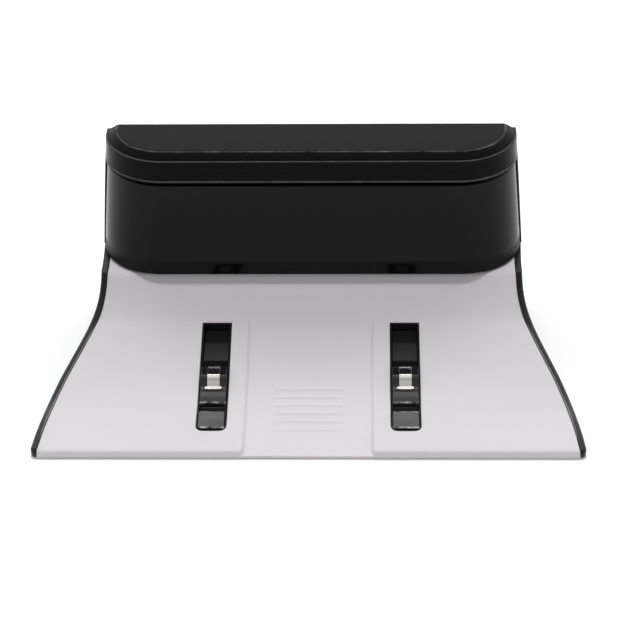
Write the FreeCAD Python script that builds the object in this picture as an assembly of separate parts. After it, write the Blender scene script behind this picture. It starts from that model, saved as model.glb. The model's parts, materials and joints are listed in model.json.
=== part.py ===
import FreeCAD, Part
import math
import os

os.makedirs("parts", exist_ok=True)
Vector = FreeCAD.Vector

# Overall size. Lengths called "at" or "from the front" run back from the front edge.
overall_width = 240.0
overall_depth = 130.0
overall_height = 94.7
foot_drop = 0.8

# Plan of the side walls: wide at the front edge, narrowest in front of the head
waist_draw = 1.35
side_wall = 2.8
trim_round = 1.1
front_corner = 3.0
cover_gap = 0.25

# Ramp surface: rolled lip, nearly flat apron, straight ramp, sweep up to the sill
lip_height = 4.0
lip_round = 3.0
apron_length = 14.0
apron_slope = 3.0
ramp_start = 40.0
ramp_slope = 18.0
sweep_radius = 48.0
sweep_top_slope = 53.2
cover_thickness = 2.6
wedge_length = 20.0
ledge_thickness = 2.8
brow_round = 4.0
trim_rise = 0.3

# Centre channel and its grip ribs
channel_width = 54.0
channel_depth = 1.3
channel_front_height = 1.5
channel_slope = 8.0
channel_fade = 10.0
rib_count = 6
rib_first = 15.0
rib_spacing = 4.9
rib_length = 31.0
rib_radius = 0.45
rib_height = 0.25

# Head: leaning front and sides, vertical back
head_depth = 38.8
head_half_low = 97.5
side_lean = 0.0756
front_lean = 0.0909
head_corner = 29.0
sill_overhang = 2.4
sill_gap = 0.6
window_thickness = 2.2
window_side_depth = 29.1
window_chamfer = 0.3
frame_proud = 0.8
ring_gap = 0.3
ring_setback = 5.0
ring_wall = 2.0
rear_wall = 2.4
deck_thickness = 2.2

# Cap and inlay
cap_height = 11.2
cap_groove = 1.4
cap_groove_inset = 1.8
lip_band = 0.8
lip_slope_height = 1.6
lip_inset = 0.2
cap_inset = 1.0
cap_wall = 2.0
cap_top = 1.4
rim_chamfer = 0.35
rim_width = 1.2
inlay_gap = 0.15
inlay_seat = 1.6
inlay_skin = 1.8
bevel_width = 4.6
bevel_drop = 2.7
plateau_round = 0.3

# Floor plate and the wells in the slots
plate_thickness = 1.6
plate_front = 28.0
plate_gap = 0.2
contact_pitch = 85.4
slot_width = 13.4
slot_front = 14.3
slot_rear = 75.0
slot_front_corner = 2.4
slot_round = 0.3
well_gap = 0.1
well_wall = 0.8
well_sink = 0.2

# Contact levers, with reaches measured back and rises measured up from the pivot
lever_clearance = 0.3
pivot_inset = 5.1
pivot_height = 3.2
nose_reach = 21.8
nose_length = 8.0
nose_rise = 10.8
tail_rise = 14.3
tail_overlap = 4.8
tail_clearance = 0.4
pin_radius = 0.75
pin_clearance = 0.05
pin_press_gap = 0.01
barrel_way_length = 12.0
barrel_radius = 1.9
strip_thickness = 0.4
strip_width = 6.0
strip_clearance = 0.02
ear_width = 7.6
spring_reach = 37.6
spring_seat_rise = 7.6
spring_radius = 2.2
spring_wire = 0.5
spring_turns = 4
spring_sides = 12
terminal_thickness = 0.4
terminal_width = 8.0
terminal_tail = 11.0
lead_radius = 0.7

# Boards in the head
board_thickness = 1.6
board_width = 150.0
board_height = 34.0
board_rise = 4.0
board_boss = 7.0
boss_radius = 3.5
transformer_size = (22.0, 12.0, 19.0)
transformer_at = -54.5
capacitor_radius = 5.0
capacitor_length = 12.0
capacitor_at = 58.0
capacitor_round = 0.6
ir_board_width = 90.0
ir_board_height = 16.0
ir_boss = 2.4
emitter_radius = 2.5
emitter_length = 5.0
emitter_pitch = 15.0
emitter_count = 4
divider_thickness = 1.2
divider_length = 9.0
link_width = 10.0
link_thickness = 0.6
lead_bend = 3.5

# Power inlet in the back wall
inlet_at = 62.0
inlet_height = 17.0
inlet_mouth_width = 15.8
inlet_mouth_height = 8.4
inlet_wall = 2.0
inlet_depth = 12.5
inlet_floor = 3.0
inlet_flange = 2.0
inlet_flange_thickness = 1.6
inlet_pin_radius = 1.18
inlet_pin_pitch = 8.6
inlet_pin_length = 9.5
inlet_tab = 5.0
inlet_clearance = 0.1

# Weight, feet and screws
ballast_width = 56.0
ballast_length = 42.0
ballast_thickness = 4.0
ballast_at = 52.0
ballast_peg_radius = 2.0
ballast_peg_spread = 36.0
ballast_peg_clearance = 0.1
foot_length = 18.0
foot_width = 8.0
foot_front_at = 38.0
foot_front_half = 84.0
foot_rear_at = 116.0
foot_rear_half = 70.0
screw_radius = 1.3
screw_length = 9.0
screw_head_radius = 2.6
screw_head_height = 0.6
screw_hole_clearance = 0.2
post_radius = 3.5
post_inset = 2.4
post_gap = 0.6
board_screw_length = 7.0
board_screw_head = 1.4

# Values that follow from the sizes above
apron_angle = math.radians(apron_slope)
ramp_angle = math.radians(ramp_slope)
top_angle = math.radians(sweep_top_slope)
head_front_low = overall_depth - head_depth
sill_at = head_front_low + sill_overhang
ramp_end = sill_at - sweep_radius * (math.sin(top_angle) - math.sin(ramp_angle))
run_radius = (ramp_start - apron_length) / (math.sin(ramp_angle) - math.sin(apron_angle))
plate_top = foot_drop + plate_thickness
rear_half = head_half_low + frame_proud + side_lean * sill_gap
waist_half = rear_half - waist_draw
pivot_at = slot_front + pivot_inset
spring_at = pivot_at + spring_reach
spring_seat_height = pivot_height + spring_seat_rise
lintel_height = pivot_height + tail_rise + tail_clearance
side_x = {"left": -contact_pitch / 2, "right": contact_pitch / 2}


def y_at(distance):
    return distance - overall_depth / 2


def point(distance, height, x=0.0):
    return Vector(x, y_at(distance), height)


def line(first, second):
    return Part.LineSegment(first, second).toShape()


def arc(first, middle, last):
    return Part.Arc(first, middle, last).toShape()


def block(x0, x1, near, far, z0, z1):
    return Part.makeBox(x1 - x0, far - near, z1 - z0, Vector(x0, y_at(near), z0))


def across(face_edges, width, x=0.0):
    """A section in the YZ plane, drawn at x = 0, extruded to a width centred on x."""
    face = Part.Face(Part.Wire(face_edges))
    face.translate(Vector(x - width / 2, 0, 0))
    return face.extrude(Vector(width, 0, 0))


def rounded_edges(corners):
    """Closed outline through (distance, height, radius) corners, with tangent arcs."""
    edges = []
    starts = []
    ends = []
    count = len(corners)
    for i in range(count):
        radius = corners[i][2]
        here = point(*corners[i][:2])
        before = (point(*corners[i - 1][:2]) - here).normalize()
        after = (point(*corners[(i + 1) % count][:2]) - here).normalize()
        half = before.getAngle(after) / 2
        reach = radius / math.tan(half)
        middle = here + (before + after).normalize() * (radius / math.sin(half) - radius)
        starts.append(here + before * reach)
        ends.append(here + after * reach)
        if radius > 0:
            edges.append(arc(starts[i], middle, ends[i]))
    joints = [line(ends[i - 1], starts[i]) for i in range(count)]
    return Part.__sortEdges__(edges + joints)


# Ramp surface
lip_point = (lip_round * (1 - math.sin(apron_angle)), lip_height - lip_round * (1 - math.cos(apron_angle)))
apron_rise = (apron_length - lip_point[0]) * math.tan(apron_angle)
apron_point = (apron_length, lip_point[1] + apron_rise)
run_rise = run_radius * (math.cos(apron_angle) - math.cos(ramp_angle))
ramp_point = (ramp_start, apron_point[1] + run_rise)
ramp_top = (ramp_end, ramp_point[1] + (ramp_end - ramp_start) * math.tan(ramp_angle))
sill_height = ramp_top[1] + sweep_radius * (math.cos(ramp_angle) - math.cos(top_angle))
run_centre = (apron_length - run_radius * math.sin(apron_angle),
              apron_point[1] + run_radius * math.cos(apron_angle))
sweep_centre = (ramp_end - sweep_radius * math.sin(ramp_angle),
                ramp_top[1] + sweep_radius * math.cos(ramp_angle))
window_low = sill_height + sill_gap
window_high = overall_height - bevel_drop + inlay_gap - cap_height
rim_height = window_high + cap_height
board_low = sill_height + board_rise
ir_board_mid = (window_low + window_high) / 2
deck_top = sill_height - ledge_thickness
head_split = head_front_low + window_side_depth


def on_circle(centre, radius, angle):
    return point(centre[0] + radius * math.sin(angle), centre[1] - radius * math.cos(angle))


def surface_height(distance):
    if distance < apron_length:
        return apron_point[1] - (apron_length - distance) * math.tan(apron_angle)
    if distance < ramp_start:
        return run_centre[1] - math.sqrt(run_radius ** 2 - (distance - run_centre[0]) ** 2)
    if distance < ramp_end:
        return ramp_point[1] + (distance - ramp_start) * math.tan(ramp_angle)
    return sweep_centre[1] - math.sqrt(sweep_radius ** 2 - (distance - sweep_centre[0]) ** 2)


def surface_edges():
    """Top of the ramp from the foot of the rolled lip to the sill."""
    lip_start = lip_height - lip_round
    lip_middle = math.radians(45) - apron_angle / 2
    lip_crest = point(lip_round * (1 - math.cos(lip_middle)), lip_start + lip_round * math.sin(lip_middle))
    return [
        line(point(0, foot_drop), point(0, lip_start)),
        arc(point(0, lip_start), lip_crest, point(*lip_point)),
        line(point(*lip_point), point(*apron_point)),
        arc(point(*apron_point), on_circle(run_centre, run_radius, (apron_angle + ramp_angle) / 2),
            point(*ramp_point)),
        line(point(*ramp_point), point(*ramp_top)),
        arc(point(*ramp_top), on_circle(sweep_centre, sweep_radius, (ramp_angle + top_angle) / 2),
            point(sill_at, sill_height)),
    ]


def below_surface(rise):
    """Everything under the ramp surface and the level of the sill, raised by a little."""
    far = overall_depth + 5
    edges = surface_edges() + [
        line(point(sill_at, sill_height), point(far, sill_height)),
        line(point(far, sill_height), point(far, foot_drop - 3)),
        line(point(far, foot_drop - 3), point(0, foot_drop - 3)),
        line(point(0, foot_drop - 3), point(0, foot_drop)),
    ]
    solid = across(edges, overall_width + 20)
    solid.translate(Vector(0, 0, rise))
    return solid


# Plan of the side walls: share of the way from the front to the sill, and share of the flare there
flare_shares = ((-0.086, 1.04), (0.028, 1.0), (0.16, 0.951), (0.32, 0.835), (0.48, 0.65), (0.641, 0.409),
                (0.801, 0.18), (0.94, 0.026))


def flare_curve():
    """Half width of the walls as a curve whose parameter is the distance from the front."""
    flare = overall_width / 2 - waist_half
    places = [(way * sill_at, waist_half + share * flare) for way, share in flare_shares]
    places += [(sill_at * 1.085, waist_half), (overall_depth, rear_half), (overall_depth * 1.08, rear_half)]
    curve = Part.BSplineCurve()
    curve.interpolate(Points=[point(at, 0, half) for at, half in places],
                      Parameters=[at for at, half in places])
    return curve


walls_curve = flare_curve()


def half_width(distance):
    return walls_curve.value(distance).x


def wall_side(inset, sign, z):
    """One side of the plan, moved inwards by a fixed thickness."""
    last = overall_depth + 8
    places = []
    for step in range(15):
        distance = -6 + (last + 6) * step / 14
        along = walls_curve.tangent(distance)[0]
        inward = Vector(-along.y, along.x, 0)
        spot = walls_curve.value(distance) + inward * inset
        places.append(Vector(sign * spot.x, spot.y, z))
    curve = Part.BSplineCurve()
    curve.interpolate(Points=places)
    return curve.toShape()


def plan_prism(inset, near, far, z0, z1):
    """Prism over the plan of the walls, between two distances from the front."""
    right = wall_side(inset, 1, z0)
    left = wall_side(inset, -1, z0)
    back = line(right.lastVertex().Point, left.lastVertex().Point)
    front = line(left.firstVertex().Point, right.firstVertex().Point)
    face = Part.Face(Part.Wire(Part.__sortEdges__([right, back, left, front])))
    prism = face.extrude(Vector(0, 0, z1 - z0))
    return prism.common(block(-overall_width, overall_width, near, far, z0, z1))


# Head
def head_wire(z, side, front, back):
    """Outline of the head at a height, inset by its own amount on the sides, front and back."""
    lift = z - window_low
    half = head_half_low - side_lean * lift - side
    near = head_front_low + front_lean * lift + front
    far = overall_depth - back
    radius = min(head_corner - max(side, front - ring_setback, 0), far - near - 1)
    slant = radius * math.sqrt(0.5)
    edges = [
        line(point(far, z, -half), point(near + radius, z, -half)),
        arc(point(near + radius, z, -half),
            point(near + radius - slant, z, -half + radius - slant), point(near, z, -half + radius)),
        line(point(near, z, -half + radius), point(near, z, half - radius)),
        arc(point(near, z, half - radius),
            point(near + radius - slant, z, half - radius + slant), point(near + radius, z, half)),
        line(point(near + radius, z, half), point(far, z, half)),
        line(point(far, z, half), point(far, z, -half)),
    ]
    return Part.Wire(edges)


def head_solid(z0, z1, side, front, back=0.0):
    return Part.makeLoft([head_wire(z0, side, front, back), head_wire(z1, side, front, back)], True, True)


def head_taper(z0, first, z1, second, back=0.0):
    """Head shape that changes its (side, front) insets between two heights."""
    return Part.makeLoft([head_wire(z0, *first, back), head_wire(z1, *second, back)], True, True)


ring_inset = window_thickness + ring_gap
ring_front = ring_inset + ring_setback


def ring_solid(z0, z1, extra):
    return head_solid(z0, z1, ring_inset + extra, ring_front + extra, rear_wall if extra > 0 else 0.0)


def in_front_of(distance):
    return block(-overall_width, overall_width, -20, distance, -10, overall_height + 10)


def behind(distance):
    return block(-overall_width, overall_width, distance, overall_depth + 20, -10, overall_height + 10)


def make_ir_window():
    edge = (window_chamfer, window_chamfer)
    flush = (0, 0)
    low = window_low + window_chamfer
    high = window_high - window_chamfer
    shell = head_solid(low, high, *flush)
    ends = [head_taper(window_low, edge, low, flush), head_taper(high, flush, window_high, edge)]
    shell = shell.fuse(ends)
    shell = shell.cut(head_solid(window_low - 1, window_high + 1, window_thickness, window_thickness))
    return shell.common(in_front_of(head_split)).removeSplitter()


def post_places():
    """Screw posts: beside the ramp, under the deck and along the back wall."""
    places = []
    for distance in (plate_front + 14, sill_at + 9):
        reach = half_width(distance) - side_wall - post_inset
        places += [(-reach, distance), (reach, distance)]
    back = overall_depth - rear_wall - post_inset
    return places + [(-contact_pitch / 2, back), (contact_pitch / 2 - 8, back)]


def board_places():
    spread = board_width / 2 - 6
    return [(x, z) for x in (-spread, spread) for z in (board_low + 6, board_low + board_height - 6)]


board_back = overall_depth - rear_wall - board_boss
board_face = board_back - board_thickness
ring_inner_face = head_front_low + front_lean * (ir_board_mid - window_low) + ring_front + ring_wall
ir_board_front = ring_inner_face + ir_boss
ir_spread = ir_board_width / 2 - 5


def rod(radius, start, direction, length):
    return Part.makeCylinder(radius, length, start, direction)


def round_trims(frame):
    """Rounds the outer top edge of both trims from the front corners to the sill."""
    edges = []
    for edge in frame.Edges:
        middle = edge.valueAt((edge.FirstParameter + edge.LastParameter) / 2)
        distance = middle.y + overall_depth / 2
        upright = edge.BoundBox.YLength < 0.01
        on_wall = abs(abs(middle.x) - half_width(max(distance, 0))) < 0.05
        if on_wall and not upright and 1 < distance < sill_at and middle.z > lip_height:
            edges.append(edge)
    return frame.makeFillet(trim_round, edges)


def make_main_frame():
    walls = plan_prism(0, 0, overall_depth, foot_drop, sill_height + 10)
    upright = [edge for edge in walls.Edges
               if abs(edge.tangentAt(edge.FirstParameter).z) > 0.99 and edge.BoundBox.YMax < y_at(1)]
    walls = walls.makeFillet(front_corner, upright)
    inside = plan_prism(side_wall, -5, overall_depth - rear_wall, foot_drop - 1, sill_height + 11)
    frame = round_trims(walls.cut(inside).common(below_surface(trim_rise)))
    deck = plan_prism(side_wall / 2, sill_at + 2, overall_depth - 1, deck_top - deck_thickness, deck_top)
    rear = head_solid(sill_height, window_high, -frame_proud, 0).common(behind(head_split))
    ring = ring_solid(deck_top - deck_thickness, window_high, 0).common(in_front_of(head_split + 1))
    cavity = ring_solid(deck_top - deck_thickness - 1, window_high + 1, ring_wall)
    frame = frame.fuse([deck, ring, rear]).cut(cavity)
    slit = ir_board_height - 4
    frame = frame.cut(block(-ir_spread + 6, ir_spread - 6, ring_inner_face - 8, ring_inner_face + 3,
                            ir_board_mid - slit / 2, ir_board_mid + slit / 2))
    back = Vector(0, 1, 0)
    for x, z in board_places():
        boss = rod(boss_radius, point(board_back, z, x), back, board_boss + rear_wall / 2)
        pilot = rod(screw_radius, point(board_back - 1, z, x), back, board_screw_length)
        frame = frame.fuse(boss).cut(pilot)
    ring_middle = ring_inner_face - ring_wall / 2
    for x in (-ir_spread, ir_spread):
        start = point(ring_middle, ir_board_mid, x)
        frame = frame.fuse(rod(boss_radius, start, back, ir_boss + ring_wall / 2))
    up = Vector(0, 0, 1)
    for x, distance in post_places():
        post = rod(post_radius, point(distance, plate_top, x), up, post_top(distance) - plate_top)
        post = post.common(plan_prism(side_wall / 2, 0, overall_depth - rear_wall / 2, 0, overall_height))
        pilot = rod(screw_radius, point(distance, foot_drop, x), up, screw_reach(distance))
        frame = frame.fuse(post).cut(pilot)
    return frame.cut(inlet_opening(inlet_wall + inlet_clearance, 1.0, rear_wall + 1)).removeSplitter()


def post_top(distance):
    """Posts end under the cover beside the ramp and inside the deck under the head."""
    if distance > sill_at:
        return deck_top - deck_thickness / 2
    return surface_height(distance - post_radius) - cover_thickness * 1.2 - post_gap


def screw_reach(distance):
    """Length of a base screw's shank that stays inside its post."""
    return min(screw_length, post_top(distance) - foot_drop - 0.8)


# Ramp cover
def channel_floor(distance):
    if distance > ramp_end:
        return surface_height(distance) + channel_depth * ((distance - ramp_end) / channel_fade - 1)
    if distance < apron_length:
        share = (apron_length - distance) / apron_length
        return (surface_height(apron_length) - channel_depth) * (1 - share) + channel_front_height * share
    return surface_height(distance) - channel_depth


def channel_section(distance):
    half = channel_width / 2
    low = channel_floor(distance)
    high = low + channel_slope
    wide = half + channel_slope
    corners = [(-half, low), (half, low), (wide, high), (-wide, high)]
    places = [point(distance, z, x) for x, z in corners]
    return Part.makePolygon(places + places[:1])


def channel_tool():
    stations = [-2, apron_length / 2, apron_length, (apron_length + ramp_start) / 2, ramp_start,
                (ramp_start + ramp_end) / 2, ramp_end, ramp_end + channel_fade, ramp_end + 2 * channel_fade]
    return Part.makeLoft([channel_section(at) for at in stations], True, False)


def slot_prism(side, gap, z0, z1):
    """Upright prism over one slot, smaller all round by a gap, with round front corners."""
    half = slot_width / 2 - gap
    solid = block(side_x[side] - half, side_x[side] + half, slot_front + gap, slot_rear - gap, z0, z1)
    corners = [edge for edge in solid.Edges if edge.BoundBox.ZLength > z1 - z0 - 0.1
               and edge.BoundBox.YMax < y_at(slot_front + gap + 1)]
    return solid.makeFillet(slot_front_corner - gap, corners)


def slot_rims(cover):
    """Edges of the slots that lie on the ramp surface."""
    rims = []
    for edge in cover.Edges:
        middle = edge.valueAt((edge.FirstParameter + edge.LastParameter) / 2)
        distance = middle.y + overall_depth / 2
        beside = min(abs(middle.x - x) for x in side_x.values())
        inside = beside < slot_width / 2 + 0.1 and slot_front - 0.1 < distance < slot_rear + 0.1
        if inside and abs(middle.z - surface_height(distance)) < 0.02:
            rims.append(edge)
    return rims


def make_ramp_cover():
    ledge_end = head_split - sill_gap
    under = cover_thickness + sweep_radius
    under_top = math.acos((sweep_centre[1] - deck_top) / under)
    inner_top = on_circle(sweep_centre, under, under_top)
    inner_foot = on_circle(sweep_centre, under, ramp_angle)
    inner_start = on_circle(run_centre, run_radius + cover_thickness, ramp_angle)
    edges = surface_edges() + [
        line(point(sill_at, sill_height), point(ledge_end, sill_height)),
        line(point(ledge_end, sill_height), point(ledge_end, deck_top)),
        line(point(ledge_end, deck_top), inner_top),
        arc(inner_top, on_circle(sweep_centre, under, (under_top + ramp_angle) / 2), inner_foot),
        line(inner_foot, inner_start),
        line(inner_start, point(wedge_length, foot_drop)),
        line(point(wedge_length, foot_drop), point(0, foot_drop)),
    ]
    cover = across(edges, overall_width + 10)
    corner = point(sill_at, sill_height)
    brow = [edge for edge in cover.Edges if edge.BoundBox.XLength > overall_width
            and abs(edge.BoundBox.YMin - corner.y) + abs(edge.BoundBox.ZMin - corner.z) < 0.01]
    cover = cover.makeFillet(brow_round, brow)
    cover = cover.common(plan_prism(side_wall + cover_gap, -1, overall_depth, 0, overall_height))
    cover = cover.cut(ring_solid(deck_top - 1, sill_height + 1, -cover_gap))
    cover = cover.cut(channel_tool())
    for side in side_x:
        cover = cover.cut(slot_prism(side, 0, -1, overall_height))
    cover = cover.makeFillet(slot_round, slot_rims(cover))
    for i in range(rib_count):
        at = rib_first + rib_spacing * i
        low = channel_floor(at) + rib_height - rib_radius
        cover = cover.fuse(rod(rib_radius, point(at, low, -rib_length / 2), Vector(1, 0, 0), rib_length))
    return cover.removeSplitter()


# Cap and inlay
cap_side = -frame_proud
recess = (cap_side + rim_width, cap_inset + rim_width)
recess_floor = rim_height - inlay_gap - inlay_seat


def make_top_cap():
    groove_top = window_high + cap_groove
    band_top = groove_top + lip_band
    slope_top = band_top + lip_slope_height
    base = head_solid(window_high, groove_top, cap_side + 0.6, cap_groove_inset)
    band = head_solid(groove_top, band_top, cap_side, lip_inset)
    face_edge = (cap_side + 0.1, cap_inset)
    slope = head_taper(band_top, (cap_side, lip_inset), slope_top, face_edge)
    rim_edge = (face_edge[0] + rim_chamfer, face_edge[1] + rim_chamfer)
    rim_low = rim_height - rim_chamfer
    face = head_solid(slope_top, rim_low, *face_edge)
    rim = head_taper(rim_low, face_edge, rim_height, rim_edge)
    cap = base.fuse([band, slope, face, rim])
    hollow_top = recess_floor - cap_top
    cap = cap.cut(head_solid(window_high - 1, hollow_top, cap_wall + ring_inset, ring_front, rear_wall))
    return cap.cut(head_solid(recess_floor, rim_height + 1, *recess, rim_width)).removeSplitter()


def make_top_inlay():
    edge = (recess[0] + inlay_gap, recess[1] + inlay_gap)
    top = (edge[0] + bevel_width, edge[1] + bevel_width)
    bevel_low = overall_height - bevel_drop
    back = rim_width + inlay_gap
    seat = head_solid(recess_floor, bevel_low, *edge, back)
    plate = seat.fuse(head_taper(bevel_low, edge, overall_height, top, back))
    rim = [line for line in plate.Edges if line.BoundBox.ZMin > overall_height - 0.01
           and line.BoundBox.YMin < y_at(overall_depth - back - 1)]
    plate = plate.makeFillet(plateau_round, rim)
    pocket = head_solid(recess_floor - 1, overall_height - inlay_skin, *top, back + inlay_skin)
    return plate.cut(pocket).removeSplitter()


# Floor plate with the lever wells
def make_bottom_plate():
    plate_rear = overall_depth - rear_wall - plate_gap
    plate = plan_prism(side_wall + plate_gap, plate_front, plate_rear, foot_drop, plate_top)
    covered = below_surface(-well_sink)
    inset = well_gap + well_wall
    half = slot_width / 2 - inset
    near = slot_front + inset
    up = Vector(0, 0, 1)
    for side, x in side_x.items():
        well = slot_prism(side, well_gap, foot_drop, sill_height).common(covered)
        inside = block(x - half, x + half, near, slot_rear - inset, plate_top, overall_height)
        tail_way = block(x - half, x + half, slot_rear - 4, slot_rear + 2, plate_top, lintel_height)
        barrel_way = block(x - half, x + half, near, pivot_at + barrel_way_length, 0, plate_top + 1)
        hole = rod(pin_radius + pin_press_gap, point(pivot_at, pivot_height, x - slot_width),
                   Vector(1, 0, 0), 2 * slot_width)
        plate = plate.fuse(well).cut([inside, tail_way, barrel_way, hole])
    for x, distance in post_places():
        start = point(distance, 0, x)
        plate = plate.cut(rod(screw_radius + screw_hole_clearance, start, up, 2 * plate_top))
    for place in ballast_peg_places(plate_top):
        plate = plate.fuse(rod(ballast_peg_radius, place, up, ballast_thickness))
    return plate.removeSplitter()


def ballast_peg_places(height):
    middle = ballast_at + ballast_length / 2
    return [point(middle, height, x) for x in (-ballast_peg_spread / 2, ballast_peg_spread / 2)]


def make_ballast_plate():
    half = ballast_width / 2
    top = plate_top + ballast_thickness
    plate = block(-half, half, ballast_at, ballast_at + ballast_length, plate_top, top)
    for place in ballast_peg_places(0):
        plate = plate.cut(rod(ballast_peg_radius + ballast_peg_clearance, place, Vector(0, 0, 1), 2 * top))
    return plate


# Contact levers
def from_pivot(reach, rise):
    return (pivot_at + reach, pivot_height + rise)


ledge_end = (nose_reach - 5.2, 6.4)
nose_foot = (nose_reach - 2.6, 7.1)
nose_end = nose_reach + nose_length


def lever_outline():
    """Side view of a lever: rib, valley, ledge, nose, arm, tail, then back along the underside."""
    tail = slot_rear - pivot_at
    corners = [
        (-3.7, -0.8, 0.5), (-3.4, 2.7, 1.2), (4.2, 3.3, 1.0), (5.4, 2.1, 0.6), (9.8, 2.3, 0.5),
        (10.8, 4.4, 0.4), (15.8, 5.4, 0.8), (*ledge_end, 0.3), (*nose_foot, 0.8), (nose_reach, nose_rise, 1.0),
        (nose_end, nose_rise, 0.8), (nose_end + 2, nose_rise - 1.2, 1.2), (tail - 9, tail_rise - 1.7, 10.0),
        (tail - 1, tail_rise, 2.0), (tail + tail_overlap - 0.3, tail_rise + 0.3, 0.8),
        (tail + tail_overlap, tail_rise - 2.1, 0.8), (spring_reach + 7, spring_seat_rise, 3.0),
        (nose_end + 1.8, spring_seat_rise, 2.0), (nose_end - 3.2, 5.2, 3.0), (11.6, 1.4, 2.0),
        (5.2, -1.5, 1.0), (-2.8, -1.6, 0.6),
    ]
    return rounded_edges([(*from_pivot(reach, rise), radius) for reach, rise, radius in corners])


def strip_outline(low, high):
    """Bent strip between two distances from its own line over the nose and under the arm."""
    under = spring_seat_rise
    bends = [(ledge_end[0] + 0.1, ledge_end[1] + 0.03), nose_foot, (nose_reach, nose_rise),
             (nose_end, nose_rise), (nose_end + 1.4, under), (spring_reach + 5, under)]
    path = [Vector(*from_pivot(reach, rise), 0) for reach, rise in bends]
    last = len(path) - 1
    above = []
    below = []
    for i in range(last + 1):
        into = path[max(i, 1)] - path[max(i, 1) - 1]
        out = path[min(i, last - 1) + 1] - path[min(i, last - 1)]
        along = into.normalize() + out.normalize()
        normal = Vector(-along.y, along.x, 0)
        normal = normal * (2 / normal.dot(normal))
        shift = 0.0 if path[i].y > pivot_height + under else -strip_thickness
        shift = shift if i > 1 else 0.0
        round_here = 0.0 if i in (0, last) else 1.0
        for rows, reach, radius in ((above, high, 0.5), (below, low, 0.3)):
            spot = path[i] + normal * (reach + shift)
            rows.append((spot.x, spot.y, radius * round_here))
    return rounded_edges(above + below[::-1])


def ear_block(side, gap):
    """Where the strip is wider, at the foot of the nose."""
    half = ear_width / 2 + gap
    near, low = from_pivot(nose_reach - 4.6 - gap, 5.8 - gap)
    far, high = from_pivot(nose_reach - 3.0 + gap, 7.4 + gap)
    return block(side_x[side] - half, side_x[side] + half, near, far, low, high)


def make_contact_strip(side):
    strip = across(strip_outline(0, strip_thickness), strip_width, side_x[side])
    ears = across(strip_outline(0, strip_thickness), ear_width, side_x[side])
    return strip.fuse(ears.common(ear_block(side, 0))).removeSplitter()


def make_contact_lever(side):
    x = side_x[side]
    width = slot_width - 2 * (well_gap + well_wall + lever_clearance)
    along = Vector(1, 0, 0)
    barrel = rod(barrel_radius, point(pivot_at, pivot_height, x - width / 2), along, width)
    bore = rod(pin_radius + pin_clearance, point(pivot_at, pivot_height, x - width), along, 2 * width)
    gap = strip_clearance
    bed = across(strip_outline(-gap, strip_thickness + gap), strip_width + 2 * gap, x)
    ears = across(strip_outline(-gap, strip_thickness + gap), ear_width + 2 * gap, x)
    lever = across(lever_outline(), width, x).fuse(barrel)
    return lever.cut([bore, bed, ears.common(ear_block(side, gap))]).removeSplitter()


def make_lever_pin(side):
    length = slot_width - 2 * well_gap
    start = point(pivot_at, pivot_height, side_x[side] - length / 2)
    return rod(pin_radius, start, Vector(1, 0, 0), length)


spring_low = plate_top + terminal_thickness
spring_high = spring_seat_height - strip_thickness


def make_lever_spring(side):
    """Coil laid as short straight chords, so that its wire stays round and light."""
    height = spring_high - spring_low - spring_wire
    count = spring_turns * spring_sides
    places = []
    for i in range(count + 1):
        angle = 2 * math.pi * i / spring_sides
        places.append(Vector(math.cos(angle), math.sin(angle), 0) * spring_radius)
        places[i].z = height * i / count
    section = Part.Wire(Part.Circle(places[0], places[1] - places[0], spring_wire / 2).toShape())
    right_corners = 1
    spring = Part.makePolygon(places).makePipeShell([section], True, False, right_corners)
    spring.translate(point(spring_at, spring_low + spring_wire / 2, side_x[side]))
    return spring


def make_terminal(side):
    x = side_x[side]
    half = terminal_width / 2
    plate = block(x - half, x + half, spring_at - 4, spring_at + 4, plate_top, spring_low)
    tail = block(x - 2, x + 2, spring_at + 4, slot_rear + terminal_tail, plate_top, spring_low)
    return plate.fuse(tail).removeSplitter()


def wire_along(places):
    """Round wire along straight runs joined by square bends."""
    pieces = []
    start = places[0]
    for i in range(1, len(places)):
        run = (places[i] - places[i - 1]).normalize()
        last = i == len(places) - 1
        end = places[i] if last else places[i] - run * lead_bend
        pieces.append(rod(lead_radius, start, run, (end - start).Length))
        if not last:
            turn = (places[i + 1] - places[i]).normalize()
            disc = Part.Face(Part.Wire(Part.Circle(end, run, lead_radius).toShape()))
            pieces.append(disc.revolve(end + turn * lead_bend, run.cross(turn), 90))
            start = places[i] + turn * lead_bend
    return pieces[0].fuse(pieces[1:]).removeSplitter()


def make_lead(side):
    x = side_x[side]
    low = spring_low + lead_radius
    rise = board_face - 9
    high = board_low + 3
    return wire_along([point(slot_rear + 5, low, x), point(rise, low, x), point(rise, high, x),
                       point(board_face, high, x)])


# Boards
def make_main_board():
    half = board_width / 2
    board = block(-half, half, board_face, board_back, board_low, board_low + board_height)
    for x, z in board_places():
        hole = rod(screw_radius, point(board_face - 1, z, x), Vector(0, 1, 0), board_thickness + 2)
        board = board.cut(hole)
    return board


def make_transformer():
    width, depth, height = transformer_size
    mid = board_low + board_height / 2
    core = block(transformer_at - width / 2, transformer_at + width / 2, board_face - depth, board_face,
                 mid - height / 2, mid + height / 2)
    window = block(transformer_at - width / 2 + 4, transformer_at + width / 2 - 4, board_face - depth - 1,
                   board_face - depth + 3, mid - height / 2 - 1, mid + height / 2 + 1)
    winding = rod(width / 2 - 4.5, point(board_face - depth / 2, mid - height / 2 - 1.5, transformer_at),
                  Vector(0, 0, 1), height + 3)
    return core.cut(window).fuse(winding.common(in_front_of(board_face))).removeSplitter()


def make_capacitor():
    mid = board_low + board_height / 2
    start = point(board_face - capacitor_length, mid, capacitor_at)
    can = rod(capacitor_radius, start, Vector(0, 1, 0), capacitor_length)
    rim = [edge for edge in can.Edges if edge.BoundBox.YMax < y_at(board_face - 1)]
    return can.makeFillet(capacitor_round, rim)


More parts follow.
